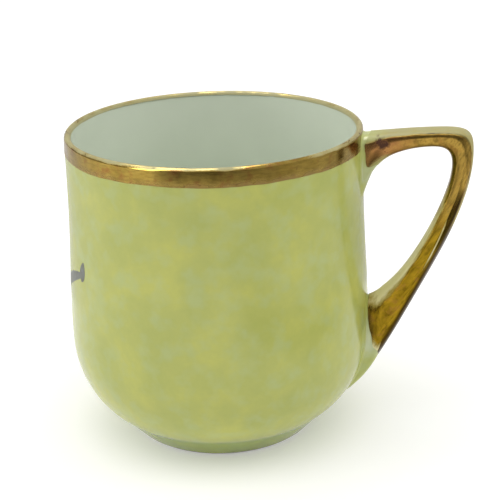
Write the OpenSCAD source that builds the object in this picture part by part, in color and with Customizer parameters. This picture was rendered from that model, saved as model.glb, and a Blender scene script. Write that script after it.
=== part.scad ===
// Porcelain coffee cup with a painted ground, a gilt lip and a gilt ear handle.
// Millimetres. The cup's axis is Z, its foot stands on Z = 0 and the handle points along +X.

/* [Cup] */
// Height from the foot to the lip
cup_h = 75; // [73:0.5:77]
// Outer radius at the lip
rim_r = 35; // [34:0.25:36]
// Outer radius at the widest place of the wall
belly_r = 36.4; // [36:0.1:37]
// Height of the widest place
belly_z = 24.3; // [22:0.1:26]
// Thickness of the wall at the belly
wall_t = 2.8; // [2:0.1:3.5]
// Thickness of the wall at the lip
lip_t = 1.6; // [1.4:0.1:2.4]
// Height of the floor inside the cup
floor_z = 6.6; // [6:0.1:8]

/* [Foot] */
// Height of the foot, up to the crease below the wall
foot_h = 6; // [5:0.1:6.5]
// Outer radius of the face that the foot stands on
foot_r = 22.4; // [21:0.1:24]
// Radius at the crease between foot and wall
neck_r = 27.8; // [27:0.1:28.5]
// Width of the face that the foot stands on
foot_face_w = 2.6; // [2:0.1:4]
// Depth of the hollow under the foot
recess_h = 3; // [1.5:0.1:3.5]

/* [Coats] */
// Thickness of the painted ground and of the glaze inside
coat_t = 0.2; // [0.15:0.05:0.4]
// Thickness of the gilding
gold_t = 0.15; // [0.1:0.05:0.3]
// Width of the gilt band outside the lip
band_w = 4.1; // [2:0.1:8]
// Reach of the gilt band inside the lip
band_in = 1.2; // [1:0.1:3]
// Height of the bare edge left at the foot
bare_edge_h = 0.6; // [0.3:0.1:1.5]

/* [Handle] */
// Width of the handle, across its plane
handle_w = 6.2; // [5:0.1:8]
// How much wider the handle is where it meets the wall
root_flare = 1.8; // [0:0.1:3]
// Distance from the lip down to the upper root
upper_root_drop = 1; // [1:0.5:4]
// Height of the upper root on the wall
upper_root_h = 14; // [12:0.5:16]
// Height of the lower root's tail above the table
lower_root_z = 7; // [6.5:0.5:9]
// Height of the lower root on the wall
lower_root_h = 26.5; // [24:0.5:28]
// Squareness of the section along the upper bar, where 2 is an ellipse
bar_power = 3.5; // [2:0.1:4]
// Squareness of the section along the lower limb
limb_power = 2.5; // [2:0.1:4]
// Bare length of the upper root, as a share of the handle's run
upper_bare = 0.035; // [0.02:0.005:0.08]
// Bare length of the lower root, as a share of the handle's run
lower_bare = 0.06; // [0.02:0.005:0.12]

/* [Smoothness] */
// Steps along each curve of the wall
curve_steps = 14; // [8:1:24]
// Rings along the handle
handle_rings = 48; // [32:4:64]
// Sides of the handle's section
handle_sides = 24; // [16:4:32]

/* [Hidden] */
$fn = 96;

porcelain = [0.93, 0.94, 0.9];
glaze = [0.9, 0.93, 0.88];
ground = [0.75, 0.77, 0.46];
gold = [0.64, 0.5, 0.18];
slip = [0.88, 0.88, 0.82];

// Slopes and reaches of the wall's curves, as tangent lengths of Bezier curves
neck_angle = 36.5;
neck_pull = 8;
belly_pull_low = 5.4;
belly_pull_high = 17;
rim_pull = 24.4;

// The same for the inside, with the radius of its flat floor
floor_flat_r = 16;
floor_pull = 10;
inner_belly_z = belly_z + 2.7;
inner_pull_low = 13;
inner_pull_high = 20;

lip_r = lip_t / 2;
lip_steps = 10;
band_z = cup_h - band_w;
inner_r = belly_r - wall_t;
foot_in_r = foot_r - foot_face_w;
edge_break = 0.4;

// A point on a cubic Bezier curve
function bezier(p, t) =
    pow(1 - t, 3) * p[0] + 3 * pow(1 - t, 2) * t * p[1] + 3 * (1 - t) * t * t * p[2] + pow(t, 3) * p[3];
function curve(p) = [for (i = [1:curve_steps]) bezier(p, i / curve_steps)];

// The visible outline of the cup in [radius, height]: up the outside, over the lip, down the inside
foot_side = [[foot_r, 0],
             [foot_r + (neck_r - foot_r) * bare_edge_h / foot_h, bare_edge_h],
             [neck_r, foot_h]];
wall_low = curve([[neck_r, foot_h],
                  [neck_r + neck_pull * cos(neck_angle), foot_h + neck_pull * sin(neck_angle)],
                  [belly_r, belly_z - belly_pull_low],
                  [belly_r, belly_z]]);
wall_high = curve([[belly_r, belly_z],
                   [belly_r, belly_z + belly_pull_high],
                   [rim_r, band_z - rim_pull],
                   [rim_r, band_z]]);
lip = [for (i = [0:lip_steps])
    let (a = 180 * i / lip_steps)
    [rim_r - lip_r + lip_r * cos(a), cup_h - lip_r + lip_r * sin(a)]];
inner_start = [rim_r - lip_t, cup_h - band_in];
inner_high = curve([inner_start,
                    inner_start - [0, inner_pull_high],
                    [inner_r, inner_belly_z + inner_pull_high],
                    [inner_r, inner_belly_z]]);
inner_low = curve([[inner_r, inner_belly_z],
                   [inner_r, inner_belly_z - inner_pull_low],
                   [floor_flat_r + floor_pull, floor_z],
                   [floor_flat_r, floor_z]]);
outline = concat(foot_side, wall_low, wall_high, lip, [inner_start], inner_high, inner_low, [[0, floor_z]]);

// Places along the outline where one coat ends and the next begins
at_edge = 1;
at_neck = 2;
at_band = at_neck + 2 * curve_steps;
at_lip = at_band + 1;
at_inside = at_band + len(lip) + 1;
at_end = len(outline) - 1;

// The outline moved into the material by a depth, along its own normals
function heading(i) = outline[min(i + 1, at_end)] - outline[max(i - 1, 0)];
function inset(i, depth) = let (d = heading(i)) outline[i] - depth * [d[1], -d[0]] / norm(d);

// A coat of one thickness along a stretch of the outline
module coat(from, to, thick) {
    rotate_extrude()
        polygon(concat([for (i = [from:to]) outline[i]],
                       [for (i = [to:-1:from]) inset(i, thick)]));
}

// Radius of the outside at a height
side_table = [for (p = concat(foot_side, wall_low, wall_high, [[rim_r, cup_h]])) [p[1], p[0]]];
function side_r(z) = lookup(z, side_table);
function side_x(y, z) = sqrt(pow(side_r(z), 2) - y * y);

// Guide points of the handle's two edges, from the upper root round to the lower one, drawn on a cup
// of this height, as [reach past the lip's radius, height]
drawn_h = 75;
outer_guides = [[4.5, 74.5], [10, 75], [17.5, 75.5], [24, 75.5], [25.5, 72.5],
                [25, 63], [20.5, 49.5], [12, 33], [4, 17], [-3, 7]];
inner_guides = [[2.5, 67], [8.5, 70.5], [15, 71.5], [19, 71.5], [21, 68.5],
                [19.5, 60], [15, 49.5], [9, 39.5], [4, 35], [2.5, 34]];

// An edge of the handle in [X, Z], with its two ends on the wall
function edge(start_z, guides, end_z) = concat(
    [[side_r(start_z), start_z]],
    [for (g = guides) [rim_r + g[0], g[1] * cup_h / drawn_h]],
    [[side_r(end_z), end_z]]);
upper_root_top = cup_h - upper_root_drop;
outer_edge = edge(upper_root_top, outer_guides, lower_root_z);
inner_edge = edge(upper_root_top - upper_root_h, inner_guides, lower_root_z + lower_root_h);

// A smooth curve led by guide points, which starts and ends on the first and the last of them
function knot(i, n) = max(0, min(1, (i - 3) / (n - 3)));
function weight(i, k, t, n) =
    k == 0 ? (knot(i, n) <= t && t < knot(i + 1, n) ? 1 : 0)
    : let (a = knot(i + k, n) - knot(i, n), b = knot(i + k + 1, n) - knot(i + 1, n))
      (a > 0 ? (t - knot(i, n)) / a * weight(i, k - 1, t, n) : 0)
      + (b > 0 ? (knot(i + k + 1, n) - t) / b * weight(i + 1, k - 1, t, n) : 0);
function total(v, i = 0) = i == len(v) - 1 ? v[i] : v[i] + total(v, i + 1);
function spline(p, t) =
    t >= 1 ? p[len(p) - 1] : total([for (i = [0:len(p) - 1]) weight(i, 3, t, len(p)) * p[i]]);

// Half the width of the handle, wider over the last stretch before each wall joint
flare_run = 0.08;
function flare(t) = pow(max(0, 1 - t / flare_run), 2);
function half_w(t) = handle_w / 2 + root_flare / 2 * (flare(t) + flare(1 - t));

// One ring of the handle: a rounded section between its two edges, never deeper than the wall's face.
// The rings near a root lie in layers along the wall, and the end rings lie on it. The section changes
// from the bar's form to the limb's round the bend.
layer_rise = 30;
bend_start = 0.28;
bend_end = 0.42;
function power(t) = lookup(t, [[bend_start, bar_power], [bend_end, limb_power]]);
function rounded(v, t) = sign(v) * pow(abs(v), 2 / power(t));
function ring(t, grow) =
    let (o = spline(outer_edge, t), i = spline(inner_edge, t),
         middle = (o + i) / 2, reach = (o - i) / 2, grown = 1 + grow / norm(reach),
         width = half_w(t) + grow, rise = layer_rise * min(t, 1 - t))
    [for (k = [0:handle_sides - 1])
        let (a = 360 * k / handle_sides,
             p = middle + reach * grown * rounded(cos(a), t),
             y = width * rounded(sin(a), t),
             wall = side_x(y, p[1]))
        [rise == 0 ? wall : max(p[0], wall + rise), y, p[1]]];
function rings(from, to, count, grow) =
    [for (k = [0:count]) ring(from + (to - from) * k / count, grow)];

// Triangles between two neighbouring loops of points, and over the end of a loop
function band_faces(first, second) = [
    for (k = [0:handle_sides - 1])
        let (n = (k + 1) % handle_sides)
        each [[first + k, second + k, second + n], [first + k, second + n, first + n]]];
function cap_faces(first) = [for (k = [1:handle_sides - 2]) [first, first + k, first + k + 1]];
function flipped(faces) = [for (f = faces) [f[2], f[1], f[0]]];

// A closed solid along the whole handle
module sweep_solid(loops) {
    last = len(loops) - 1;
    polyhedron(points = [for (l = loops) each l],
               faces = concat(
                   [for (r = [0:last - 1]) each band_faces(r * handle_sides, (r + 1) * handle_sides)],
                   cap_faces(0),
                   flipped(cap_faces(last * handle_sides))));
}

// A closed skin between an outer and an inner set of loops
module sweep_skin(outside, inside) {
    last = len(outside) - 1;
    inner = len(outside) * handle_sides;
    polyhedron(points = [for (l = concat(outside, inside)) each l],
               faces = concat(
                   [for (r = [0:last - 1]) each band_faces(r * handle_sides, (r + 1) * handle_sides)],
                   flipped([for (r = [0:last - 1])
                       each band_faces(inner + r * handle_sides, inner + (r + 1) * handle_sides)]),
                   flipped(band_faces(0, inner)),
                   band_faces(last * handle_sides, inner + last * handle_sides)));
}

// The outline of a handle root on the wall, as a bar that passes out through the wall's coats
module root_bar(t) {
    start = t == 0 ? rim_r - lip_r : foot_r;
    translate([start, 0, 0])
        rotate([90, 0, 90])
            linear_extrude(height = belly_r)
                polygon([for (p = ring(t, 0)) [p[1], p[2]]]);
}

module bowl() {
    color(porcelain) rotate_extrude()
        polygon(concat([for (i = [at_neck:at_end]) inset(i, coat_t)],
                       [[0, recess_h], [foot_in_r, recess_h]]));
}

module foot_ring() {
    color(porcelain) rotate_extrude()
        polygon([inset(at_neck, coat_t), [foot_in_r, recess_h],
                 [foot_in_r, edge_break], [foot_in_r + edge_break, 0],
                 outline[0], outline[at_edge], inset(at_edge, coat_t)]);
}

module ground_coat() {
    color(ground) difference() {
        coat(at_edge, at_band, coat_t);
        root_bar(0);
        root_bar(1);
    }
}

module inside_glaze() {
    color(glaze) coat(at_inside, at_end, coat_t);
}

module rim_gilding() {
    color(gold) difference() {
        coat(at_band, at_inside, coat_t);
        root_bar(0);
    }
}

module handle() {
    color(porcelain) sweep_solid(rings(0, 1, handle_rings, -gold_t));
}

module handle_gilding() {
    color(gold) sweep_skin(rings(upper_bare, 1 - lower_bare, handle_rings, 0),
                           rings(upper_bare, 1 - lower_bare, handle_rings, -gold_t));
}

// The slip that joins a handle root to the wall, as thick as the coat around it
module luting(t) {
    color(slip) intersection() {
        coat(at_neck, at_lip, coat_t);
        root_bar(t);
    }
}

module upper_luting() { luting(0); }

module lower_luting() { luting(1); }

bowl();
foot_ring();
ground_coat();
inside_glaze();
rim_gilding();
handle();
handle_gilding();
upper_luting();
lower_luting();
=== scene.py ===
import math

import bmesh
import bpy
from mathutils import Matrix, Vector, noise


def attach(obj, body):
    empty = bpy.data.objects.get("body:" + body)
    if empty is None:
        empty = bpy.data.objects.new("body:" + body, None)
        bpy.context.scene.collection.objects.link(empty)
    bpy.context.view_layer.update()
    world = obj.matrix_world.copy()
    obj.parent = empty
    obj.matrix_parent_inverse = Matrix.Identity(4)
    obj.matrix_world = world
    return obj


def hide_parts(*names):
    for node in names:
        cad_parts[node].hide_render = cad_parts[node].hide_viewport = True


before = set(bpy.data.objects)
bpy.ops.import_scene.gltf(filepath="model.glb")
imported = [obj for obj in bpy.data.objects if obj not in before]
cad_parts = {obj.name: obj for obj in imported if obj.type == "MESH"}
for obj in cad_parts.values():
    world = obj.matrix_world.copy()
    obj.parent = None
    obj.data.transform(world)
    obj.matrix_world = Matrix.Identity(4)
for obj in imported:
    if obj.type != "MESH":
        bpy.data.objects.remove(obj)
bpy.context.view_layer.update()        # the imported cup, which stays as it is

mm = 0.001
scene = bpy.context.scene
scene.view_settings.view_transform = "Standard"


# tables: rows of a place and one or two values, with straight lines between the rows
def between(table, x, column=1):
    for low, high in zip(table, table[1:]):
        if x <= high[0]:
            return low[column] + (high[column] - low[column]) * (x - low[0]) / (high[0] - low[0])
    return table[-1][column]


def both(table, x):
    return between(table, x), between(table, x, 2)


def rising(x, middle, soft):                         # from 0 to 1 across the middle
    return min(1, max(0, (x - middle + soft) / (2 * soft)))


# camera: a seated viewer's look across the table, the handle to the right
shot = dict(place=(58.2, -273.9, 150.1), turn=-10.42, tilt=20.85, roll=-1.61, lens=88.56, sensor=36.0,
            clip=(0.01, 50))


def addCamera(spec):
    turn, tilt, roll = (math.radians(spec[k]) for k in ("turn", "tilt", "roll"))
    ahead = Vector((math.sin(turn) * math.cos(tilt), math.cos(turn) * math.cos(tilt), -math.sin(tilt)))
    right = Vector((math.cos(turn), -math.sin(turn), 0))
    up = right.cross(ahead)
    across = math.cos(roll) * right + math.sin(roll) * up
    upward = math.cos(roll) * up - math.sin(roll) * right
    data = bpy.data.cameras.new("camera")
    data.lens, data.sensor_width, data.sensor_fit = spec["lens"], spec["sensor"], "HORIZONTAL"
    data.clip_start, data.clip_end = spec["clip"]
    camera = bpy.data.objects.new("camera", data)
    pose = Matrix((across, upward, -ahead)).transposed().to_4x4()
    pose.translation = Vector(spec["place"]) * mm
    camera.matrix_world = pose
    scene.collection.objects.link(camera)
    scene.camera = camera


addCamera(shot)
print("camera placed")


# node helpers for the finishes, in object space apart from the brush marks in the gold
def newFinish(name):
    material = bpy.data.materials.new(name)
    material.use_nodes = True
    tree = material.node_tree
    return material, tree, tree.nodes["Principled BSDF"]


def setInputs(node, **values):
    for key, value in values.items():
        node.inputs[key].default_value = value


def plug(tree, value, socket):
    if hasattr(value, "is_linked"):                  # the output of another node
        tree.links.new(value, socket)
    else:
        socket.default_value = value


def objectPlace(tree):
    return tree.nodes.new("ShaderNodeTexCoord").outputs["Object"]


def attribute(tree, name):                           # what the mesh says at each point
    node = tree.nodes.new("ShaderNodeAttribute")
    node.attribute_name = name
    return node.outputs["Color"]


def combine(tree, operation, *values):
    node = tree.nodes.new("ShaderNodeMath")
    node.operation = operation
    for socket, value in zip(node.inputs, values):
        plug(tree, value, socket)
    return node.outputs[0]


def cloud(tree, size, detail=3.0, roughness=0.5):
    node = tree.nodes.new("ShaderNodeTexNoise")      # size is the breadth of a patch in millimetres
    setInputs(node, Scale=1 / (size * mm), Detail=detail, Roughness=roughness)
    tree.links.new(objectPlace(tree), node.inputs["Vector"])
    return node.outputs["Fac"]


def ramp(tree, factor, stops):
    node = tree.nodes.new("ShaderNodeValToRGB")
    band = node.color_ramp
    while len(band.elements) < len(stops):
        band.elements.new(0.5)
    for element, (place, color) in zip(band.elements, stops):
        element.position, element.color = place, color
    tree.links.new(factor, node.inputs["Fac"])
    return node.outputs["Color"]


def grey(value):
    return (value, value, value, 1)


def mask(tree, factor, low, high, start=0, end=1):
    return ramp(tree, factor, [(low, grey(start)), (high, grey(end))])


def blendColor(tree, factor, first, second, mode="MIX"):
    node = tree.nodes.new("ShaderNodeMix")
    node.data_type, node.blend_type = "RGBA", mode
    for value, key in ((factor, "Factor"), (first, 6), (second, 7)):    # 6 and 7 are the colour sockets
        plug(tree, value, node.inputs[key])
    return node.outputs[2]


def bump(tree, shader, height, depth, strength):
    node = tree.nodes.new("ShaderNodeBump")          # depth in millimetres
    setInputs(node, Strength=strength, Distance=depth * mm)
    tree.links.new(height, node.inputs["Height"])
    tree.links.new(node.outputs["Normal"], shader.inputs["Normal"])


def heightShare(tree, low, high, blend="SMOOTHSTEP"):
    split = tree.nodes.new("ShaderNodeSeparateXYZ")
    tree.links.new(objectPlace(tree), split.inputs[0])
    share = tree.nodes.new("ShaderNodeMapRange")     # 0 below the low height, 1 above the high one
    share.interpolation_type = blend
    setInputs(share, **{"From Min": low * mm, "From Max": high * mm})
    tree.links.new(split.outputs["Z"], share.inputs["Value"])
    return share.outputs["Result"]


# studio: soft light from three sides, two lights that the lip mirrors, and white paper below
studio = dict(air=[(0.0, 0.42), (0.30, 0.55), (0.75, 0.90)], aim=(0, 0, 0.04),
              softBoxes=[("leftBox", (-0.95, -0.05, 0.55), (0.9, 0.9), 2.95),
                         ("rightBox", (0.95, 0.20, 0.60), (0.6, 0.6), 1.7),
                         ("topBox", (0.0, -0.15, 1.10), (0.9, 0.9), 2.0)],
              mirrored=[("ceilingLight", (-0.15, -0.03, 1.05), (0.85, 0.85), 17),
                        ("windowLight", (-0.56, -0.62, 0.55), (0.3, 0.9), 6.4)],
              floorColor=(0.84, 0.84, 0.83, 1), floorGlow=0.25, floorRough=0.8,
              floorRadius=8, floorSides=64, floorDrop=0.00005)


def addBox(aim, name, place, size, power):
    lamp = bpy.data.lights.new(name, "AREA")
    lamp.shape, lamp.size, lamp.size_y, lamp.energy = "RECTANGLE", *size, power
    box = bpy.data.objects.new(name, lamp)
    box.location = place
    box.rotation_euler = (Vector(aim) - box.location).to_track_quat("-Z", "Y").to_euler()
    scene.collection.objects.link(box)
    return box


def makePaper(spec):
    paper, tree, surface = newFinish("floorPaper")
    setInputs(surface, **{"Base Color": spec["floorColor"], "Roughness": spec["floorRough"]})
    rays = tree.nodes.new("ShaderNodeLightPath")     # the paper looks white itself and in the gold
    seen = rays.outputs["Is Camera Ray"]
    for kind in ("Is Glossy Ray", "Is Transmission Ray"):
        seen = combine(tree, "MAXIMUM", seen, rays.outputs[kind])
    glow = tree.nodes.new("ShaderNodeEmission")
    tree.links.new(combine(tree, "MULTIPLY", seen, spec["floorGlow"]), glow.inputs["Strength"])
    lit = tree.nodes.new("ShaderNodeAddShader")
    tree.links.new(surface.outputs[0], lit.inputs[0])
    tree.links.new(glow.outputs[0], lit.inputs[1])
    tree.links.new(lit.outputs[0], tree.nodes["Material Output"].inputs["Surface"])
    return paper


def addStudio(spec):
    world = bpy.data.worlds.new("studioAir")
    world.use_nodes = True
    tree = world.node_tree
    split = tree.nodes.new("ShaderNodeSeparateXYZ")
    tree.links.new(tree.nodes.new("ShaderNodeTexCoord").outputs["Generated"], split.inputs[0])
    sky = ramp(tree, split.outputs["Z"], [(height, grey(level)) for height, level in spec["air"]])
    tree.links.new(sky, tree.nodes["Background"].inputs["Color"])
    scene.world = world
    for box in spec["softBoxes"]:
        addBox(spec["aim"], *box).visible_glossy = False    # soft cloth, too dim to draw a highlight
    for box in spec["mirrored"]:
        addBox(spec["aim"], *box).visible_diffuse = False    # draws the light on the lip and no more

    mesh = bpy.data.meshes.new("floor")
    bm = bmesh.new()
    bmesh.ops.create_circle(bm, cap_ends=True, radius=spec["floorRadius"], segments=spec["floorSides"])
    bm.to_mesh(mesh)
    bm.free()
    floor = bpy.data.objects.new("floor", mesh)
    floor.location.z = -spec["floorDrop"]
    mesh.materials.append(makePaper(spec))
    scene.collection.objects.link(floor)


addStudio(studio)


# dark surround in front and to the right, met by reflections alone, which gives the gold its depth
# turns, behind: heading in degrees, where it starts in metres, how far it is drawn in
# rows, behindRows: past the start, height, shade
surround = dict(turns=[(-124, 0.30, 0), (-112, 0.28, 0.7), (-104, 0.27, 1), (-92, 0.262, 1),
                       (-78, 0.264, 1), (-59, 0.24, 0.8), (-39, 0.20, 0.55), (-20, 0.20, 0.4),
                       (60, 0.20, 0.35), (100, 0.20, 0)],
                rows=[(0.0, 0.002, 0.72), (0.018, 0.0025, 0.38), (0.06, 0.004, 0.24), (0.22, 0.04, 0.16),
                      (0.40, 0.20, 0.15), (0.50, 0.42, 0.15)],
                behind=[(16, 0.13, 0), (28, 0.11, 0.7), (52, 0.11, 0.7), (62, 0.10, 0.45),
                        (104, 0.10, 0.35), (116, 0.10, 0.25), (150, 0.10, 0.2), (176, 0.12, 0)],
                behindRows=[(0.0, 0.0012, 0.60), (0.03, 0.0016, 0.30), (0.60, 0.0024, 0.22)],
                pace=4, paper=0.84)
# a soft shadow on the paper beside the handle; rings: share of the size, shade
sideShadow = dict(middle=(0.112, -0.065, 0.0008), size=(0.021, 0.085), turn=-15, sides=32,
                  rings=[(0.0, 0.06), (1.0, 0.08), (1.5, 0.84)])


def drawSurround(bm, shade, spec):
    for turns, rows in ((spec["turns"], spec["rows"]), (spec["behind"], spec["behindRows"])):
        columns = []
        for turn in range(turns[0][0], turns[-1][0] + 1, spec["pace"]):
            start, drawn = both(turns, turn)
            c, s = math.cos(math.radians(turn)), math.sin(math.radians(turn))
            column = []
            for past, height, dark in rows:
                vert = bm.verts.new(((start + past) * c, (start + past) * s, height))
                vert[shade] = grey(spec["paper"] + (dark - spec["paper"]) * drawn)
                column.append(vert)
            columns.append(column)
        for here, there in zip(columns, columns[1:]):
            for i in range(len(here) - 1):
                bm.faces.new((here[i], here[i + 1], there[i + 1], there[i]))


def drawShadow(bm, shade, spec):
    wide, long = spec["size"]
    spin = Matrix.Rotation(math.radians(spec["turn"]), 3, "Z")
    circles = []
    for radius, dark in spec["rings"]:
        circle = []
        for k in range(spec["sides"] if radius else 1):
            turn = 2 * math.pi * k / spec["sides"]
            out = spin @ Vector((wide * math.cos(turn), long * math.sin(turn), 0))
            vert = bm.verts.new(Vector(spec["middle"]) + radius * out)
            vert[shade] = grey(dark)
            circle.append(vert)
        circles.append(circle)
    for here, there in zip(circles, circles[1:]):
        for k in range(len(there)):
            n = (k + 1) % len(there)
            if len(here) == 1:
                bm.faces.new((here[0], there[k], there[n]))
            else:
                bm.faces.new((here[k], there[k], there[n], here[n]))


def addSurround():
    bm = bmesh.new()
    shade = bm.verts.layers.float_color.new("shade")
    drawSurround(bm, shade, surround)
    drawShadow(bm, shade, sideShadow)
    mesh = bpy.data.meshes.new("darkSurround")
    bm.to_mesh(mesh)
    bm.free()
    velvet, tree, shader = newFinish("surroundVelvet")
    drawnIn = tree.nodes.new("ShaderNodeVertexColor")
    drawnIn.layer_name = "shade"
    tree.links.new(drawnIn.outputs["Color"], shader.inputs["Base Color"])
    setInputs(shader, Roughness=1.0)
    mesh.materials.append(velvet)
    screen = bpy.data.objects.new("darkSurround", mesh)
    screen.visible_camera = screen.visible_shadow = screen.visible_diffuse = False
    scene.collection.objects.link(screen)


addSurround()
print("studio lit")


# painted ground and white glaze: patch, fleck, sheenPatch and ripple are breadths in millimetres
glossIor = 1.5
enamel = dict(light=(0.545, 0.556, 0.12, 1), middle=(0.47, 0.498, 0.12, 1), deep=(0.425, 0.463, 0.112, 1),
              haze=(0.46, 0.54, 0.235, 1), patch=12, fleck=4.4, poolAndPaintedLightTop=20,
              # tints by height, multiplied in: darker and greener down the foot and in its crease, partly
              # pooled glaze and partly painted shade; the values over 1 just above the crease paint a
              # lighter band
              poolAndPaintedLight=[(0, (0.74, 0.84, 0.47, 1)), (4.6, (0.72, 0.82, 0.44, 1)),    # by height
                      (5.9, (0.60, 0.74, 0.38, 1)), (7.2, (1.06, 1.06, 1.06, 1)),
                      (10.5, (1.1, 1.1, 1.1, 1)), (17, (1, 1, 1, 1))],
              roughness=(0.13, 0.25), sheenPatch=6, ripple=2.4, rippleDepth=(0.02, 0.35))
glaze = dict(light=(0.745, 0.80, 0.68, 1), deep=(0.695, 0.75, 0.63, 1), patch=22,
             roughness=(0.09, 0.17), sheenPatch=9, ripple=5, rippleDepth=(0.02, 0.3))
# the painted ground runs over the handle's roots and leaves some white; bare: height, share
rootCoat = dict(bare=[(18, 0), (21, 0.6), (24, 0.6), (30, 0), (58, 0), (63.5, 0.5), (66, 0.55),
                      (69, 0.05), (73.6, 0.2)],
                top=80, edgePatch=1.6, ragged=0.03, roughness=0.3, ripple=2.2, rippleDepth=(0.02, 0.3))


def enamelColor(tree):
    wide = cloud(tree, enamel["patch"], detail=4, roughness=0.6)
    fine = cloud(tree, enamel["fleck"], detail=2, roughness=0.5)
    base = ramp(tree, wide, [(0.32, enamel["deep"]), (0.5, enamel["middle"]), (0.70, enamel["light"])])
    thin = blendColor(tree, mask(tree, fine, 0.46, 0.72, 0, 0.5), base, enamel["haze"])
    # the height tints paint shade down the foot and a lighter band above its crease, over the pooled glaze
    top = enamel["poolAndPaintedLightTop"]
    tints = [(z / top, tint) for z, tint in enamel["poolAndPaintedLight"]]
    poolAndPaintedLight = ramp(tree, heightShare(tree, 0, top, "LINEAR"), tints)
    return blendColor(tree, 1.0, thin, poolAndPaintedLight, "MULTIPLY")


def glazeColor(tree):
    patches = cloud(tree, glaze["patch"], detail=3)
    return ramp(tree, patches, [(0.35, glaze["deep"]), (0.68, glaze["light"])])


def makeCoat(name, spec, color):
    material, tree, shader = newFinish(name)
    tree.links.new(color(tree), shader.inputs["Base Color"])
    sheen = mask(tree, cloud(tree, spec["sheenPatch"]), 0.3, 0.7, *spec["roughness"])
    tree.links.new(sheen, shader.inputs["Roughness"])
    setInputs(shader, IOR=glossIor)
    bump(tree, shader, cloud(tree, spec["ripple"], detail=2), *spec["rippleDepth"])
    return material


def makeRootGlaze(spec):
    material, tree, shader = newFinish("rootGlaze")
    top, ragged = spec["top"], spec["ragged"]
    height = heightShare(tree, 0, top, "LINEAR")
    edge = combine(tree, "MULTIPLY_ADD", cloud(tree, spec["edgePatch"], detail=2), ragged, height)
    bare = ramp(tree, edge, [(z / top + ragged / 2, grey(level)) for z, level in spec["bare"]])
    bare = blendColor(tree, 1.0, bare, attribute(tree, "white"), "MULTIPLY")
    tree.links.new(blendColor(tree, bare, enamelColor(tree), glazeColor(tree)), shader.inputs["Base Color"])
    setInputs(shader, Roughness=spec["roughness"], IOR=glossIor)
    bump(tree, shader, cloud(tree, spec["ripple"], detail=2), *spec["rippleDepth"])
    return material


# gold: what both golds share, then the tones of each
# stretch, grain: brush marks round the piece and along it
gilding = dict(tonePatch=5, blotch=3.2, fleck=2.2, borderPatch=2.6, streaks=0.26, roughness=(0.10, 0.22),
               dullRough=0.45, specular=0.15, strokeDepth=(0.03, 0.2))
lipGilt = dict(bright=(0.39, 0.27, 0.062, 1), deep=(0.345, 0.232, 0.046, 1), worn=(0.17, 0.085, 0.035, 1),
               red=(0.27, 0.115, 0.035, 1), redShare=0.75, speckShare=0.75, dull=(0.43, 0.385, 0.18, 1),
               pale=(0.47, 0.44, 0.24, 1), edge=(0.30, 0.20, 0.07, 1),
               stretch=(40, 3, 1), grain=(110, 70, 1), grainTone=(0.80, 1.12))
# low: its tone on the lower limb; pale, paleLow: paler gold on the sides, and painted highlights on the
# limb's ridge and at the lower tip; bare: at one spot on the bar
# edge: dark borders at the roots, and a painted dark line along the bar's upper edges; shade: the tone of
# the painted shade
handleGilt = dict(bright=(0.41, 0.262, 0.054, 1), deep=(0.36, 0.22, 0.044, 1), worn=(0.17, 0.075, 0.03, 1),
                  red=(0.30, 0.14, 0.03, 1), redShare=0.5, speckShare=0.3, dull=(0.43, 0.335, 0.085, 1),
                  pale=(0.42, 0.385, 0.17, 1), edge=(0.06, 0.04, 0.010, 1),
                  low=(0.295, 0.185, 0.011, 1), lowZone=(48, 63),
                  paleLow=(0.80, 0.73, 0.42, 1), paleZone=(54, 68),
                  melt=(0.46, 0.47, 0.18, 1), shade=(0.22, 0.20, 0.16, 1),
                  spot=(39.2, -3.2, 72.4), spotReach=10, spotPatch=1.3, spotRagged=0.35,
                  blush=(0.34, 0.155, 0.055, 1), bare=(0.088, 0.035, 0.018, 1),
                  stretch=(14, 30, 1), grain=(30, 80, 1), grainTone=(0.60, 1.25))


def brushed(tree, scale):
    stretch = tree.nodes.new("ShaderNodeMapping")
    setInputs(stretch, Scale=scale)
    tree.links.new(tree.nodes.new("ShaderNodeUVMap").outputs["UV"], stretch.inputs["Vector"])
    marks = tree.nodes.new("ShaderNodeTexNoise")
    setInputs(marks, Scale=1.0, Detail=4.0, Roughness=0.6)
    tree.links.new(stretch.outputs[0], marks.inputs["Vector"])
    return marks.outputs["Fac"]


def spotShare(tree, gold):                           # grows away from the spot, with a ragged edge
    away = tree.nodes.new("ShaderNodeVectorMath")
    away.operation = "DISTANCE"
    away.inputs[1].default_value = [v * mm for v in gold["spot"]]
    tree.links.new(objectPlace(tree), away.inputs[0])
    near = tree.nodes.new("ShaderNodeMapRange")
    setInputs(near, **{"From Min": 0.0, "From Max": gold["spotReach"] * mm})
    tree.links.new(away.outputs["Value"], near.inputs["Value"])
    ragged = cloud(tree, gold["spotPatch"], detail=5, roughness=0.6)
    return blendColor(tree, gold["spotRagged"], near.outputs[0], ragged)


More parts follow.
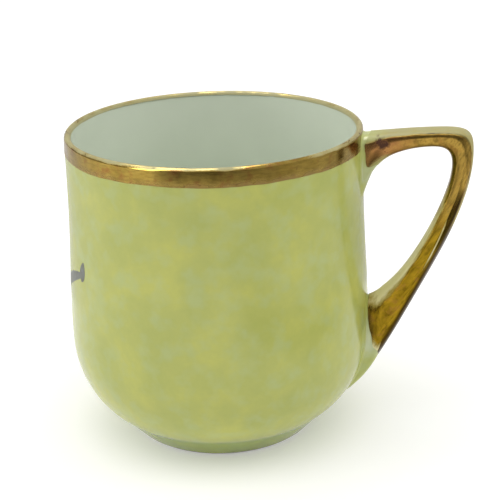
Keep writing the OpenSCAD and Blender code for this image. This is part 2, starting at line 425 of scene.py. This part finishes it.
def makeGold(name, gold):
    material, tree, shader = newFinish(name)
    strokes, grain = brushed(tree, gold["stretch"]), brushed(tree, gold["grain"])
    patches = cloud(tree, gilding["tonePatch"], detail=4)
    color = ramp(tree, patches, [(0.3, gold["deep"]), (0.62, gold["bright"])])
    if "low" in gold:
        color = blendColor(tree, heightShare(tree, *gold["lowZone"]), gold["low"], color)
    color = blendColor(tree, 1.0, color, mask(tree, strokes, 0.34, 0.62, 0.74, 1.0), "MULTIPLY")
    dark, bright = gold["grainTone"]
    scratch = ramp(tree, grain, [(0.36, grey(dark)), (0.5, grey(1)), (0.66, grey(bright))])
    color = blendColor(tree, 1.0, color, scratch, "MULTIPLY")
    blotch = cloud(tree, gilding["blotch"], detail=5, roughness=0.65)
    color = blendColor(tree, mask(tree, blotch, 0.52, 0.66, 0, gold["redShare"]), color, gold["red"])
    specks = cloud(tree, gilding["fleck"], detail=5, roughness=0.65)
    color = blendColor(tree, mask(tree, specks, 0.64, 0.74, 0, gold["speckShare"]), color, gold["worn"])

    # worn in streaks, and the mesh says where: first thinned, then rubbed pale; on the handle the pale
    # layer also paints highlights on the limb's ridge and at the lower tip, and the edge layer paints a
    # dark line along the bar
    wearAndPaintedLight = blendColor(tree, gilding["streaks"], attribute(tree, "rubAndHighlight"), mask(tree, strokes, 0.36, 0.64))
    patchy = mask(tree, cloud(tree, gilding["borderPatch"], detail=4), 0.38, 0.60, 0.35)
    border = blendColor(tree, 1.0, attribute(tree, "edge"), patchy, "MULTIPLY")
    pale = gold["pale"]
    if "paleLow" in gold:
        pale = blendColor(tree, heightShare(tree, *gold["paleZone"]), gold["paleLow"], pale)
    layers = [(mask(tree, wearAndPaintedLight, 0.26, 0.50), gold["dull"]), (mask(tree, wearAndPaintedLight, 0.48, 0.78), pale)]
    if "melt" in gold:
        layers.append((attribute(tree, "fade"), gold["melt"]))
    layers.append((border, gold["edge"]))
    if "spot" in gold:
        reach = spotShare(tree, gold)
        color = blendColor(tree, mask(tree, reach, 0.30, 0.75, 0.85, 0), color, gold["blush"])
        layers.append((mask(tree, reach, 0.235, 0.30, 1, 0), gold["bare"]))
    if "shade" in gold:
        color = blendColor(tree, attribute(tree, "shade"), color, gold["shade"], "MULTIPLY")
    dull = grey(0)                                   # no metal where any of these lies over the gold
    for share, tone in layers:
        color = blendColor(tree, share, color, tone)
        dull = blendColor(tree, 1.0, dull, share, "LIGHTEN")
    tree.links.new(color, shader.inputs["Base Color"])
    tree.links.new(mask(tree, dull, 0, 1, 1, 0), shader.inputs["Metallic"])
    setInputs(shader, **{"Specular IOR Level": gilding["specular"]})
    rough = mask(tree, strokes, 0.3, 0.7, *gilding["roughness"])
    tree.links.new(blendColor(tree, dull, rough, grey(gilding["dullRough"])), shader.inputs["Roughness"])
    bump(tree, shader, strokes, *gilding["strokeDepth"])
    return material


# bare porcelain and grey paint; patch: breadth, detail and roughness of the clouds in them
biscuit = dict(light=(0.66, 0.65, 0.58, 1), deep=(0.50, 0.48, 0.41, 1), patch=(1.4, 5, 0.7),
               stops=(0.35, 0.6), roughness=0.75, grain=0.35, grainDepth=(0.04, 0.5))
inkGrey = dict(light=(0.17, 0.185, 0.165, 1), deep=(0.10, 0.098, 0.055, 1), patch=(2.0, 4, 0.5),
               stops=(0.3, 0.7), roughness=0.35, grain=0.8, grainDepth=(0.02, 0.4))


def makeMatt(name, spec):
    material, tree, shader = newFinish(name)
    low, high = spec["stops"]
    tone = ramp(tree, cloud(tree, *spec["patch"]), [(low, spec["deep"]), (high, spec["light"])])
    tree.links.new(tone, shader.inputs["Base Color"])
    setInputs(shader, Roughness=spec["roughness"])
    bump(tree, shader, cloud(tree, spec["grain"], detail=3), *spec["grainDepth"])
    return material


finishes = dict(enamel=makeCoat("groundEnamel", enamel, enamelColor),
                glaze=makeCoat("whiteGlaze", glaze, glazeColor),
                root=makeRootGlaze(rootCoat), biscuit=makeMatt("bareBiscuit", biscuit),
                lipGold=makeGold("lipGold", lipGilt), handleGold=makeGold("handleGold", handleGilt),
                ink=makeMatt("greyEnamel", inkGrey))
print("finishes mixed:", ", ".join(finishes))


# mesh helpers
weld = dict(doubles=1e-7, slivers=1e-8)


def skin(bm, rings, closed=True):
    chart = bm.loops.layers.uv.verify()
    rows = [[bm.verts.new(Vector(p) * mm) for p in ring] for ring in rings]
    count = len(rings[0])
    last = len(rows) if closed else len(rows) - 1
    for i in range(last):
        here, there = rows[i], rows[(i + 1) % len(rows)]
        for k in range(count):
            n = (k + 1) % count
            face = bm.faces.new((here[k], here[n], there[n], there[k]))
            for loop, (u, v) in zip(face.loops, ((i, k), (i, k + 1), (i + 1, k + 1), (i + 1, k))):
                loop[chart].uv = (u / last, v / count)
    return rows


def wornSkin(rings, worn):                           # worn: for each ring, lists of shares by name, for wear and for painted shade and highlights
    bm = bmesh.new()
    layers = {name: bm.verts.layers.float.new(name) for name in worn[0]}
    for row, shares in zip(skin(bm, rings), worn):
        for name, layer in layers.items():
            for vert, share in zip(row, shares[name]):
                vert[layer] = share
    return bm


def addPiece(name, bm, finish, node, sharp=35):
    bmesh.ops.remove_doubles(bm, verts=bm.verts, dist=weld["doubles"])
    bmesh.ops.dissolve_degenerate(bm, edges=bm.edges, dist=weld["slivers"])
    bmesh.ops.recalc_face_normals(bm, faces=bm.faces)
    mesh = bpy.data.meshes.new(name)
    bm.to_mesh(mesh)
    bm.free()
    mesh.shade_smooth()
    mesh.set_sharp_from_angle(angle=math.radians(sharp))
    mesh.materials.append(finish)
    piece = bpy.data.objects.new(name, mesh)
    scene.collection.objects.link(piece)
    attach(piece, "root")
    if node:
        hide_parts(node)
    print("piece", name, len(mesh.polygons), "faces")


def turned(profileAt, segments, wearAndPaintedLight=None):
    rings, worn = [], []
    for i in range(segments):
        angle = 2 * math.pi * i / segments
        c, s = math.cos(angle), math.sin(angle)
        rings.append([(r * c, r * s, z) for r, z in profileAt(angle)])
        worn.append(wearAndPaintedLight(angle) if wearAndPaintedLight else {})
    return wornSkin(rings, worn)


# the cup's outline, in millimetres of radius and height
cup = dict(height=75, rimRadius=35, bellyRadius=36.4, bellyHeight=24.3, footHeight=6, footRadius=22.4,
           neckRadius=27.8, bareEdge=0.6, neckAngle=36.5, neckPull=8, bellyPullLow=5.4, bellyPullHigh=17,
           rimPull=24.4, lipThick=1.6, bandWidth=4.1, bandInside=1.2, innerRadius=33.6, innerHeight=27,
           innerPullHigh=20, innerPullLow=13, floorHeight=6.6, floorFlat=16, floorPull=10, footInside=19.8,
           recess=3, coat=0.2, lipLean=0.16, lipRound=1.25, sideSteps=40)


def bezier(points, steps):
    a, b, c, d = (Vector(p) for p in points)
    curve = []
    for i in range(steps + 1):
        t = i / steps
        curve.append((1 - t) ** 3 * a + 3 * (1 - t) ** 2 * t * b + 3 * (1 - t) * t * t * c + t ** 3 * d)
    return curve


def upBy(name):
    return Vector((0, cup[name]))


def outsideLine(steps):
    neck = Vector((cup["neckRadius"], cup["footHeight"]))
    belly = Vector((cup["bellyRadius"], cup["bellyHeight"]))
    band = Vector((cup["rimRadius"], cup["height"] - cup["bandWidth"]))
    angle = math.radians(cup["neckAngle"])
    leave = Vector((math.cos(angle), math.sin(angle))) * cup["neckPull"]
    low = bezier((neck, neck + leave, belly - upBy("bellyPullLow"), belly), steps)
    high = bezier((belly, belly + upBy("bellyPullHigh"), band - upBy("rimPull"), band), steps)
    return low + high[1:]


def insideLine(steps):
    start = Vector((cup["rimRadius"] - cup["lipThick"], cup["height"] - cup["bandInside"]))
    belly = Vector((cup["innerRadius"], cup["innerHeight"]))
    flat = Vector((cup["floorFlat"], cup["floorHeight"]))
    high = bezier((start, start - upBy("innerPullHigh"), belly + upBy("innerPullHigh"), belly), steps)
    low = bezier((belly, belly - upBy("innerPullLow"), flat + Vector((cup["floorPull"], 0)), flat), steps)
    return high + low[1:] + [upBy("floorHeight")]


def lipLean(z):                                      # the last millimetres of the wall close in a little
    return cup["lipLean"] * max(0, (z - cup["height"]) / cup["bandWidth"] + 1) ** 2


def lipLine(steps):
    tall = cup["lipThick"] / 2
    base = cup["height"] - tall
    outer, inner = cup["rimRadius"] - lipLean(base), cup["rimRadius"] - cup["lipThick"]
    middle, half = (outer + inner) / 2, (outer - inner) / 2
    line = []
    for i in range(steps + 1):
        c, s = math.cos(math.pi * i / steps), math.sin(math.pi * i / steps)
        out = math.copysign(abs(c) ** cup["lipRound"], c)
        line.append(Vector((middle + half * out, base + tall * s ** cup["lipRound"])))
    return line


def offsetLine(line, depth):                         # to the left of its way, which is into the clay
    moved = []
    for i, point in enumerate(line):
        way = (line[min(i + 1, len(line) - 1)] - line[max(i - 1, 0)]).normalized()
        moved.append(point + depth * Vector((-way.y, way.x)))
    return moved


footCorner, lipCorner = Vector((cup["footRadius"], 0)), Vector((cup["rimRadius"], cup["height"]))
sideLine = [footCorner] + outsideLine(cup["sideSteps"]) + [lipCorner]


def sideRadius(z):
    for low, high in zip(sideLine, sideLine[1:]):
        if z <= high.y:
            share = max(0.0, (z - low.y) / (high.y - low.y))
            return low.x + (high.x - low.x) * share
    return sideLine[-1].x


# a hand-drawn edge: a slow wave, and on it a quicker one with a share of its size
handWave = dict(quicker=3.1, share=0.45)


def waver(angle, seed, size, pace=4.0):
    place = Vector((pace * math.cos(angle), pace * math.sin(angle), seed))
    return size * (noise.noise(place) + handWave["share"] * noise.noise(place * handWave["quicker"]))


def evenly(start, end, count):                       # from the start on, without the end
    return [start + (end - start) * i / count for i in range(count)]


# white body: its lip and wall are under the coats, and its underside shows inside the foot
# under: from the recess's corner, outwards and upwards
body = dict(segments=160, steps=18, lipSteps=10, under=[(-2, 0), (-0.5, -0.15), (0.4, -0.9)])


def makeBody(spec):
    line = outsideLine(spec["steps"]) + lipLine(spec["lipSteps"]) + insideLine(spec["steps"])
    loop = offsetLine(line, cup["coat"])
    loop[-1].x = 0
    loop.append(upBy("recess"))
    loop += [Vector((cup["footInside"] + x, cup["recess"] + z)) for x, z in spec["under"]]
    return turned(lambda angle: loop, spec["segments"])


addPiece("bowlBody", makeBody(body), finishes["glaze"], "bowl")


# foot ring: bare where it stands, softly broken at both edges, its top and outside tucked under the coats
# outside: above the bare edge, out from the slope
foot = dict(segments=160, round=0.45, innerSteps=6, outerSteps=4, outerSwing=1.1, topTuck=0.3,
            recessTuck=0.2, outside=[(0, -0.05), (0.4, -0.25)])


def makeFoot(spec):
    inner, outer, top = cup["footInside"], cup["footRadius"], cup["footHeight"]
    lean = (cup["neckRadius"] - outer) / top
    soft = spec["round"]
    loop = [Vector((cup["neckRadius"] - spec["topTuck"], top)),
            Vector((inner, cup["recess"] + spec["recessTuck"]))]
    for i in range(spec["innerSteps"] + 1):
        a = math.radians(180 + 90 * i / spec["innerSteps"])
        loop.append(Vector((inner + soft + soft * math.cos(a), soft + soft * math.sin(a))))
    for i in range(spec["outerSteps"] + 1):
        a = i / spec["outerSteps"] * spec["outerSwing"]
        loop.append(Vector((outer - soft + soft * math.sin(a), soft * (1 - math.cos(a)))))
    for above, out in spec["outside"]:
        z = cup["bareEdge"] + above
        loop.append(Vector((outer + lean * z + out, z)))
    return turned(lambda angle: loop, spec["segments"])


addPiece("footRing", makeFoot(foot), finishes["biscuit"], "foot_ring")


# painted ground: down the wall, over a soft crease and down the foot
ground = dict(segments=288, steps=40, crease=0.9, creaseSteps=8, footSteps=6, edgeWaver=(7.3, 0.16),
              underBand=1.4)


def makeGround(spec):
    neck = Vector((cup["neckRadius"], cup["footHeight"]))
    lean = (neck.x - cup["footRadius"]) / cup["footHeight"]
    upper = [p for p in outsideLine(spec["steps"]) if (p - neck).length > spec["crease"]]
    lower = Vector((neck.x - lean * spec["crease"], neck.y - spec["crease"]))
    soft = []
    for i in range(spec["creaseSteps"] + 1):         # a soft hollow instead of a sharp crease
        t = i / spec["creaseSteps"]
        soft.append((1 - t) ** 2 * lower + 2 * (1 - t) * t * neck + t * t * upper[0])
    top = Vector((cup["rimRadius"], cup["height"] - cup["bandWidth"] + spec["underBand"]))

    def profile(angle):
        edge = cup["bareEdge"] + waver(angle, *spec["edgeWaver"])
        drop = evenly(edge, lower.y, spec["footSteps"])
        down = [Vector((cup["footRadius"] + lean * z, z)) for z in drop]
        line = down + soft + upper[1:] + [top]
        return line + offsetLine(line, cup["coat"])[::-1]

    return turned(profile, spec["segments"])


addPiece("groundCoat", makeGround(ground), finishes["enamel"], "ground_coat")


# white glaze inside
lining = dict(segments=224, steps=26, underBand=0.25)


def makeLining(spec):
    line = insideLine(spec["steps"])
    line.insert(0, line[0] + Vector((0, spec["underBand"])))
    back = offsetLine(line, cup["coat"])
    back[-1].x = 0
    loop = line + back[::-1]
    return turned(lambda angle: loop, spec["segments"])


addPiece("insideGlaze", makeLining(lining), finishes["glaze"], "inside_glaze")


# gold over the lip, its two edges drawn by hand: up the wall, over the crest, down the inside
# inside: heading, width; mostUp: the inner edge's most, over the end of the crest
# wornRound: heading, share; wornOver: step over the crest, how much
lipBand = dict(segments=360, proud=0.04, outerWaver=(1.7, 0.22), innerWaver=(5.1, 0.12, 5),
               upSteps=6, lipSteps=18, downSteps=3, mostUp=0.15,
               inside=[(0, 1.1), (50, 1.0), (78, 0.75), (140, 0.75), (165, 1.0), (360, 1.1)],
               wornRound=[(0, 1), (284, 1), (296, 0.4), (316, 0.4), (328, 1), (360, 1)],
               wornOver=[(0, 0), (2, 0.1), (4, 0.42), (14, 0.46), (17, 0.8), (18, 0.9)],
               wornInside=0.9, lowerEdge=[0.85, 0.5, 0.2])


def makeLipBand(spec):
    crest = lipLine(spec["lipSteps"])
    last, count = crest[-1], spec["downSteps"]

    def profile(angle):
        outerEdge = cup["height"] - cup["bandWidth"] + waver(angle, *spec["outerWaver"])
        inside = between(spec["inside"], math.degrees(angle))
        innerEdge = cup["height"] - inside + waver(angle, *spec["innerWaver"])
        innerEdge = min(innerEdge, last.y + spec["mostUp"])
        rise = evenly(outerEdge, crest[0].y, spec["upSteps"])
        up = [Vector((sideRadius(z) - lipLean(z), z)) for z in rise]
        down = [Vector((last.x, last.y + (innerEdge - last.y) * i / count)) for i in range(1, count + 1)]
        line = up + crest + down
        return offsetLine(line, -spec["proud"]) + offsetLine(line, cup["coat"])[::-1]

    def wearAndPaintedLight(angle):
        much = between(spec["wornRound"], math.degrees(angle))
        over = [much * between(spec["wornOver"], i) for i in range(spec["lipSteps"] + 1)]
        rubAndHighlight = [0] * spec["upSteps"] + over + [spec["wornInside"]] * count
        edge = spec["lowerEdge"] + [0] * (len(rubAndHighlight) - len(spec["lowerEdge"]))
        return dict(rubAndHighlight=rubAndHighlight + rubAndHighlight[::-1], edge=edge + edge[::-1])

    return turned(profile, spec["segments"], wearAndPaintedLight)


addPiece("rimGilding", makeLipBand(lipBand), finishes["lipGold"], "rim_gilding")


# ear handle: rings between an outer and an inner edge, each a smooth curve led by guide points
# outer, inner: from the lip's radius, height; the squares: how far along, power of the section's rounding
ear = dict(outer=[(4.5, 74.5), (10, 75), (17.5, 75.5), (24, 75.5), (25.5, 72.5), (25, 63), (20.5, 49.5),
                  (12, 33), (4, 17), (-3, 7)],
           inner=[(2.5, 67), (8.5, 70.5), (15, 71.5), (19, 71.5), (21, 68.5), (19.5, 60), (15, 49.5),
                  (9, 39.5), (4, 35), (2.5, 34)],
           outerEnds=(74, 7), innerEnds=(60, 33.5), width=6.2, flare=1.8, flareRun=0.08,
           draft=0.07, draftReach=2.5, layerRise=30, endDepth=0.1,
           outerSquare=[(0, 3.5), (0.28, 3.5), (0.42, 2.5), (0.52, 2.3), (0.60, 1.85), (0.72, 1.85),
                        (0.82, 2.3), (1, 2.5)],
           innerSquare=[(0, 3.5), (0.28, 3.5), (0.42, 3.0), (0.52, 3.5), (0.60, 4.2), (0.80, 4.2),
                        (0.90, 3.4), (1, 2.7)],
           rings=180, sides=108)


def edgeGuides(ends, guides):
    start, end = ((sideRadius(z), z) for z in ends)
    return [Vector(p) for p in [start] + [(cup["rimRadius"] + x, z) for x, z in guides] + [end]]


def knot(i, n):
    return min(1.0, max(0.0, (i - 3) / (n - 3)))


def weight(i, k, t, n):
    if k == 0:
        return 1.0 if knot(i, n) <= t < knot(i + 1, n) else 0.0
    a, b = knot(i + k, n) - knot(i, n), knot(i + k + 1, n) - knot(i + 1, n)
    rise = (t - knot(i, n)) / a * weight(i, k - 1, t, n) if a > 0 else 0
    fall = (knot(i + k + 1, n) - t) / b * weight(i + 1, k - 1, t, n) if b > 0 else 0
    return rise + fall


def spline(points, t):
    if t >= 1:
        return points[-1].copy()
    total = Vector((0, 0))
    for i, p in enumerate(points):
        total += weight(i, 3, t, len(points)) * p
    return total


outerEdge = edgeGuides(ear["outerEnds"], ear["outer"])
innerEdge = edgeGuides(ear["innerEnds"], ear["inner"])


def sectionAt(t, angle):
    c, s = math.cos(angle), math.sin(angle)
    power = 2 / between(ear["outerSquare" if c > 0 else "innerSquare"], t)
    return math.copysign(abs(c) ** power, c), math.copysign(abs(s) ** power, s)


earCache = {}


def earLine(t):
    key = round(t, 6)
    if key not in earCache:
        o, i = spline(outerEdge, t), spline(innerEdge, t)
        earCache[key] = ((o + i) / 2, (o - i) / 2)
    return earCache[key]


def earPoint(t, angle, grow):
    middle, reach = earLine(t)
    flare = max(0, 1 - t / ear["flareRun"]) ** 2 + max(0, 1 - (1 - t) / ear["flareRun"]) ** 2
    across, aside = sectionAt(t, angle)
    lean = ear["draft"] * min(ear["draftReach"], reach.length) * across    # wider on the outer edge
    half = ear["width"] / 2 + ear["flare"] / 2 * flare + grow + lean
    place = middle + reach * (1 + grow / reach.length) * across
    y = half * aside
    wall = math.sqrt(max(0.0, sideRadius(place.y) ** 2 - y * y))
    rise = ear["layerRise"] * min(t, 1 - t)
    x = wall - ear["endDepth"] if rise == 0 else max(place.x, wall + rise)
    return Vector((x, y, place.y))


def earAngles(count):
    return [2 * math.pi * k / count for k in range(count)]


def turnOf(angle):                                   # degrees from the outer edge to either side
    return abs(math.degrees(angle) if angle <= math.pi else math.degrees(angle) - 360)


# white handle under the gold; whites: how white the upper half's root may be, and the lower one's
handleWhite = dict(under=0.12, whites=(0.5, 0.8))


def makeHandleWhite(spec):
    bm = bmesh.new()
    rings = [[earPoint(i / ear["rings"], a, -spec["under"]) for a in earAngles(ear["sides"])]
             for i in range(ear["rings"] + 1)]
    white = bm.verts.layers.float.new("white")
    rows = skin(bm, rings, closed=False)
    upper, lower = spec["whites"]
    for i, row in enumerate(rows):
        for vert in row:
            vert[white] = upper if 2 * i < ear["rings"] else lower
    bm.faces.new(rows[0])
    bm.faces.new(rows[-1])
    return bm


addPiece("handleBody", makeHandleWhite(handleWhite), finishes["root"], "handle")


# gold on the handle; upper, lower: section angle, where the gold starts and ends along the handle
handleGold = dict(upper=[(0, 0.014), (30, 0.012), (45, 0.010), (60, 0.006), (75, 0.006), (90, 0.010),
                         (105, 0.026), (120, 0.040), (150, 0.050), (180, 0.048)],
                  lower=[(0, 0.882), (30, 0.882), (45, 0.888), (60, 0.898), (75, 0.915), (90, 0.945),
                         (105, 0.970), (120, 0.981), (150, 0.987), (180, 0.987)],
                  upperWaver=(2.2, 0.0025, 2), lowerWaver=(8.8, 0.0025, 2),
                  sunk=0.004, thick=0.15, along=200,
                  # paler gold (outer, inner), a painted highlight line along the limb (ridge), and painted
                  # shade (arris, under, crest): how far along, how much, and the section angle where it
                  # starts or lies
                  outer=[(0, 0.85, 54.5), (0.36, 0.85, 54.5), (0.46, 0.65, 38), (0.56, 0.5, 40),
                         (0.62, 0.5, 40), (0.68, 0, 34)],
                  inner=[(0, 0, 140), (0.48, 0, 140), (0.58, 0.6, 122), (0.70, 0.9, 119), (0.80, 1, 118),
                         (0.87, 1, 120), (0.92, 0.8, 127), (1, 0.5, 138)],
                  ridge=[(0, 0, 98), (0.57, 0, 98), (0.61, 0.4, 88), (0.64, 0.9, 80), (0.70, 0.9, 70),
                         (0.75, 0, 66)],
                  arris=[(0, 0, 50), (0.55, 0, 62), (0.61, 0.8, 58), (0.66, 1, 56), (0.70, 1, 60),
                         (0.93, 1, 61)],
                  under=[(0, 0, 97), (0.05, 0, 97), (0.09, 0.5, 97), (0.34, 0.55, 97), (0.42, 0.6, 88),
                         (0.52, 0.5, 84), (0.58, 0, 84)],
                  crest=[(0, 0, 51), (0.12, 0, 51), (0.20, 0.9, 51), (0.38, 0.9, 51), (0.46, 0, 46)],
                  soft=dict(outer=7, inner=14, ridge=7, arris=7, under=10, crest=4),    # degrees
                  # at the two ends: section angle, how much or how far along it runs
                  fade=[(0, 1), (46, 1), (62, 0), (93, 0), (104, 0.65), (114, 0.9), (180, 0.9)],
                  fadeRun=0.05,
                  upperDark=[(0, 0), (48, 0), (66, 0.9), (92, 0.9), (108, 0.2), (180, 0.15)],
                  upperDarkRun=0.016,
                  lowerDark=[(0, 0), (86, 0), (96, 0.55), (118, 0.7), (180, 0.7)],
                  lowerDarkRun=[(0, 0.004), (50, 0.004), (66, 0.02), (78, 0.06), (112, 0.06), (126, 0.03),
                                (142, 0.006), (180, 0.006)],
                  # tip: a painted glint at the end of the lower gold, laid on as pale gold
                  tip=[(0, 0), (50, 0), (56, 1), (88, 1), (95, 0)], tipRun=0.022,
                  rootShade=[(0, 0), (84, 0), (94, 0.5), (120, 0.55), (132, 0)],
                  rootRun=[(0, 0.03), (84, 0.03), (96, 0.055), (104, 0.08), (114, 0.13), (180, 0.13)],
                  rootSteep=3)


def rubAndHighlightAt(spec, t, turn):                            # paler outer and inner sides, and a painted highlight along the limb's ridge
    soft = spec["soft"]
    outer, outerSide = both(spec["outer"], t)
    inner, innerSide = both(spec["inner"], t)
    ridge, line = both(spec["ridge"], t)
    return max(outer * rising(outerSide, turn, soft["outer"]),
               inner * rising(turn, innerSide, soft["inner"]),
               ridge * max(0, 1 - abs(turn - line) / soft["ridge"]))


def shadeAt(spec, t, turn):                          # darker gold: the limb's arrises, under the bar
    soft = spec["soft"]
    (arris, line), (under, side) = both(spec["arris"], t), both(spec["under"], t)
    return max(arris * min(rising(line, turn, soft["arris"]), turn / (2 * soft["arris"])),
               under * rising(turn, side + soft["under"], soft["under"]))


def crestAt(spec, t, turn):                          # painted shade: a dark line along the bar's two upper edges
    much, line = both(spec["crest"], t)
    return much * min(1, max(0, 2 - abs(turn - line) / spec["soft"]["crest"]))


def makeHandleGold(spec):
    rings, worn = [], []
    for angle in earAngles(ear["sides"]):
        turn = turnOf(angle)
        start = between(spec["upper"], turn) + waver(angle, *spec["upperWaver"])
        end = between(spec["lower"], turn) + waver(angle, *spec["lowerWaver"])
        run = [start + (end - start) * i / spec["along"] for i in range(spec["along"] + 1)]
        rings.append([earPoint(t, angle, -spec["sunk"]) for t in run]
                     + [earPoint(t, angle, -spec["thick"]) for t in run[::-1]])
        melt, tip, deep, deepRun = (between(spec[k], turn) for k in ("fade", "tip", "rootShade", "rootRun"))
        dark, low, lowRun = (between(spec[k], turn) for k in ("upperDark", "lowerDark", "lowerDarkRun"))
        wearAndPaintedLight = dict(rubAndHighlight=[], edge=[], fade=[], shade=[])
        for t in run:
            past, left = t - start, end - t
            nearRoot = min(1, max(0, spec["rootSteep"] * (1 - left / deepRun)))    # painted shade near the lower root
            border = max(dark - past / spec["upperDarkRun"], low - left / lowRun)
            # pale: paler sides, a painted highlight on the ridge and a painted glint at the tip
            wearAndPaintedLight["rubAndHighlight"].append(max(rubAndHighlightAt(spec, t, turn), tip * (1 - left / spec["tipRun"])))
            wearAndPaintedLight["edge"].append(max(crestAt(spec, t, turn), border))
            wearAndPaintedLight["fade"].append(max(0, melt * (1 - past / spec["fadeRun"])))
            wearAndPaintedLight["shade"].append(max(shadeAt(spec, t, turn), deep * nearRoot))
        worn.append({name: shares + shares[::-1] for name, shares in wearAndPaintedLight.items()})
    return wornSkin(rings, worn)


addPiece("handleGilding", makeHandleGold(handleGold), finishes["handleGold"], "handle_gilding")


# slip at the two roots: a soft hollow all round between handle and wall, wider towards the tail
# by section angle, lift: how far up the handle; full: how full the hollow is; out: reach over the wall
# arrive, back: share of that reach, height over the wall
luting = dict(upper=dict(lift=[(0, 0.005), (110, 0.006), (150, 0.032), (180, 0.034)],
                         full=[(0, 0.6), (110, 0.6), (150, 0.4), (180, 0.4)],
                         out=[(0, 0.15), (75, 0.2), (110, 0.6), (150, 1.2), (180, 1.6)]),
              lower=dict(lift=[(0, 0.020), (80, 0.020), (110, 0.010), (180, 0.010)],
                         full=[(0, 0.6), (180, 0.6)],
                         out=[(0, 1.6), (60, 2.0), (90, 1.4), (120, 0.5), (180, 0.4)]),
              sunk=0.16, arrive=[(0.35, 0.02), (1, -0.03)], back=[(0.6, -0.19), (-0.3, -0.19)],
              highest=74.2, whiteFall=1.4, steps=10, sides=120)


def onWall(y, z, proud):
    return Vector((math.sqrt(max(0.0, (sideRadius(z) + proud) ** 2 - y * y)), y, z))


def makeLuting(spec, t):
    end = spec["upper"] if t == 0 else spec["lower"]
    angles = earAngles(spec["sides"])
    corners = [earPoint(t, a, 0) for a in angles]
    centre = sum(corners, Vector()) / len(corners)
    rings = []
    for k, a in enumerate(angles):
        corner = corners[k]
        before, after = corners[k - 1], corners[(k + 1) % len(corners)]
        way = Vector((after.y - before.y, after.z - before.z)).normalized()
        away = Vector((way.y, -way.x))
        if away.dot(Vector((corner.y - centre.y, corner.z - centre.z))) < 0:
            away = -away
        lift, full, out = (between(end[key], turnOf(a)) for key in ("lift", "full", "out"))

        def beside(share, proud):
            z = min(corner.z + away.y * out * share, spec["highest"])
            return onWall(corner.y + away.x * out * share, z, proud)

        high = earPoint(abs(t - lift), a, -spec["sunk"])
        bend = high + full * (onWall(corner.y, corner.z, 0) - high)    # leaves along the handle
        arrive = [beside(*p) for p in spec["arrive"]]                  # and arrives along the wall
        rings.append(bezier((high, bend, *arrive), spec["steps"]) + [beside(*p) for p in spec["back"]])
    bm = bmesh.new()
    white = bm.verts.layers.float.new("white")
    for row in skin(bm, rings):
        for i, vert in enumerate(row):
            vert[white] = max(0, 1 - spec["whiteFall"] * i / spec["steps"])
    return bm


addPiece("upperLuting", makeLuting(luting, 0), finishes["root"], "upper_luting", sharp=60)
addPiece("lowerLuting", makeLuting(luting, 1), finishes["root"], "lower_luting", sharp=60)


# painted leaf spray on the left side: brush strokes that lie on the wall
# stem: heading, height; leaves: heading, height, lean, length, width, and a form that isn't the plain one
# plainForm: curl, taper
spray = dict(stem=[(132, 25), (150, 31), (168, 34), (186, 36), (200, 38.5)], stemSteps=40, stemWidth=0.55,
             stemTaper=0.4, stemEnds=20, proud=0.04, strokeEnds=6, ribs=2, edgeThin=0.5,
             leaves=[(140, 28.5, 75, 9, 2.2), (143, 28, -20, 9, 2.2), (154, 32.5, 80, 9.5, 2.3),
                     (158, 33, -25, 9, 2.2), (169, 36.2, 80, 8.5, 2.1), (175, 37.5, -30, 8, 2.0),
                     (186, 39, 75, 7.5, 1.9), (191, 39.6, -35, 7, 1.8),
                     (193.5, 36.8, 37, 20, 2.7, 0.2, 0.5), (219.6, 43.4, 81, 5.3, 2.8, 0.1, 0.7)],
             plainForm=(0.5, 0.9), leafSteps=24, leafBelly=0.8)


def onSide(along, z, proud):
    radius = sideRadius(z) + proud
    angle = along / cup["bellyRadius"]
    return Vector((radius * math.cos(angle), radius * math.sin(angle), z))


def addStroke(bm, path, width, spec):
    rings = []
    last, ribs = len(path) - 1, spec["ribs"]
    for i, point in enumerate(path):
        way = (path[min(i + 1, last)] - path[max(i - 1, 0)]).normalized()
        side = Vector((-way.y, way.x)) * width(i / last)
        lift = spec["proud"] * min(1, spec["strokeEnds"] * i / last, spec["strokeEnds"] * (last - i) / last)
        front, back = [], []
        for k in range(-ribs, ribs + 1):
            p = point + side * k / ribs
            front.append(onSide(p.x, p.y, lift * (1 - spec["edgeThin"] * abs(k) / ribs)))
            back.append(onSide(p.x, p.y, -lift))
        rings.append(front + back[::-1])
    skin(bm, rings, closed=False)


def makeSpray(spec):
    bm = bmesh.new()
    arc = cup["bellyRadius"] * math.pi / 180
    guides = [Vector((a * arc, z)) for a, z in spec["stem"]]
    stem = [spline(guides, i / spec["stemSteps"]) for i in range(spec["stemSteps"] + 1)]

    def stemWidth(u):
        ends = min(1, spec["stemEnds"] * u, spec["stemEnds"] * (1 - u))
        return spec["stemWidth"] * (1 - spec["stemTaper"] * u) * ends

    addStroke(bm, stem, stemWidth, spec)
    for a, z, lean, length, width, *form in spec["leaves"]:
        curl, taper = form or spec["plainForm"]
        base, turn = Vector((a * arc, z)), math.radians(lean)
        path = []
        for i in range(spec["leafSteps"] + 1):
            u = i / spec["leafSteps"]
            bend = turn - curl * u * math.copysign(1, lean)
            path.append(base + length * u * Vector((math.cos(bend), math.sin(bend))))

        def leafWidth(u):
            return width / 2 * math.sin(math.pi * u ** spec["leafBelly"]) ** taper if 0 < u < 1 else 0

        addStroke(bm, path, leafWidth, spec)
    return bm


addPiece("leafSpray", makeSpray(spray), finishes["ink"], None, sharp=60)
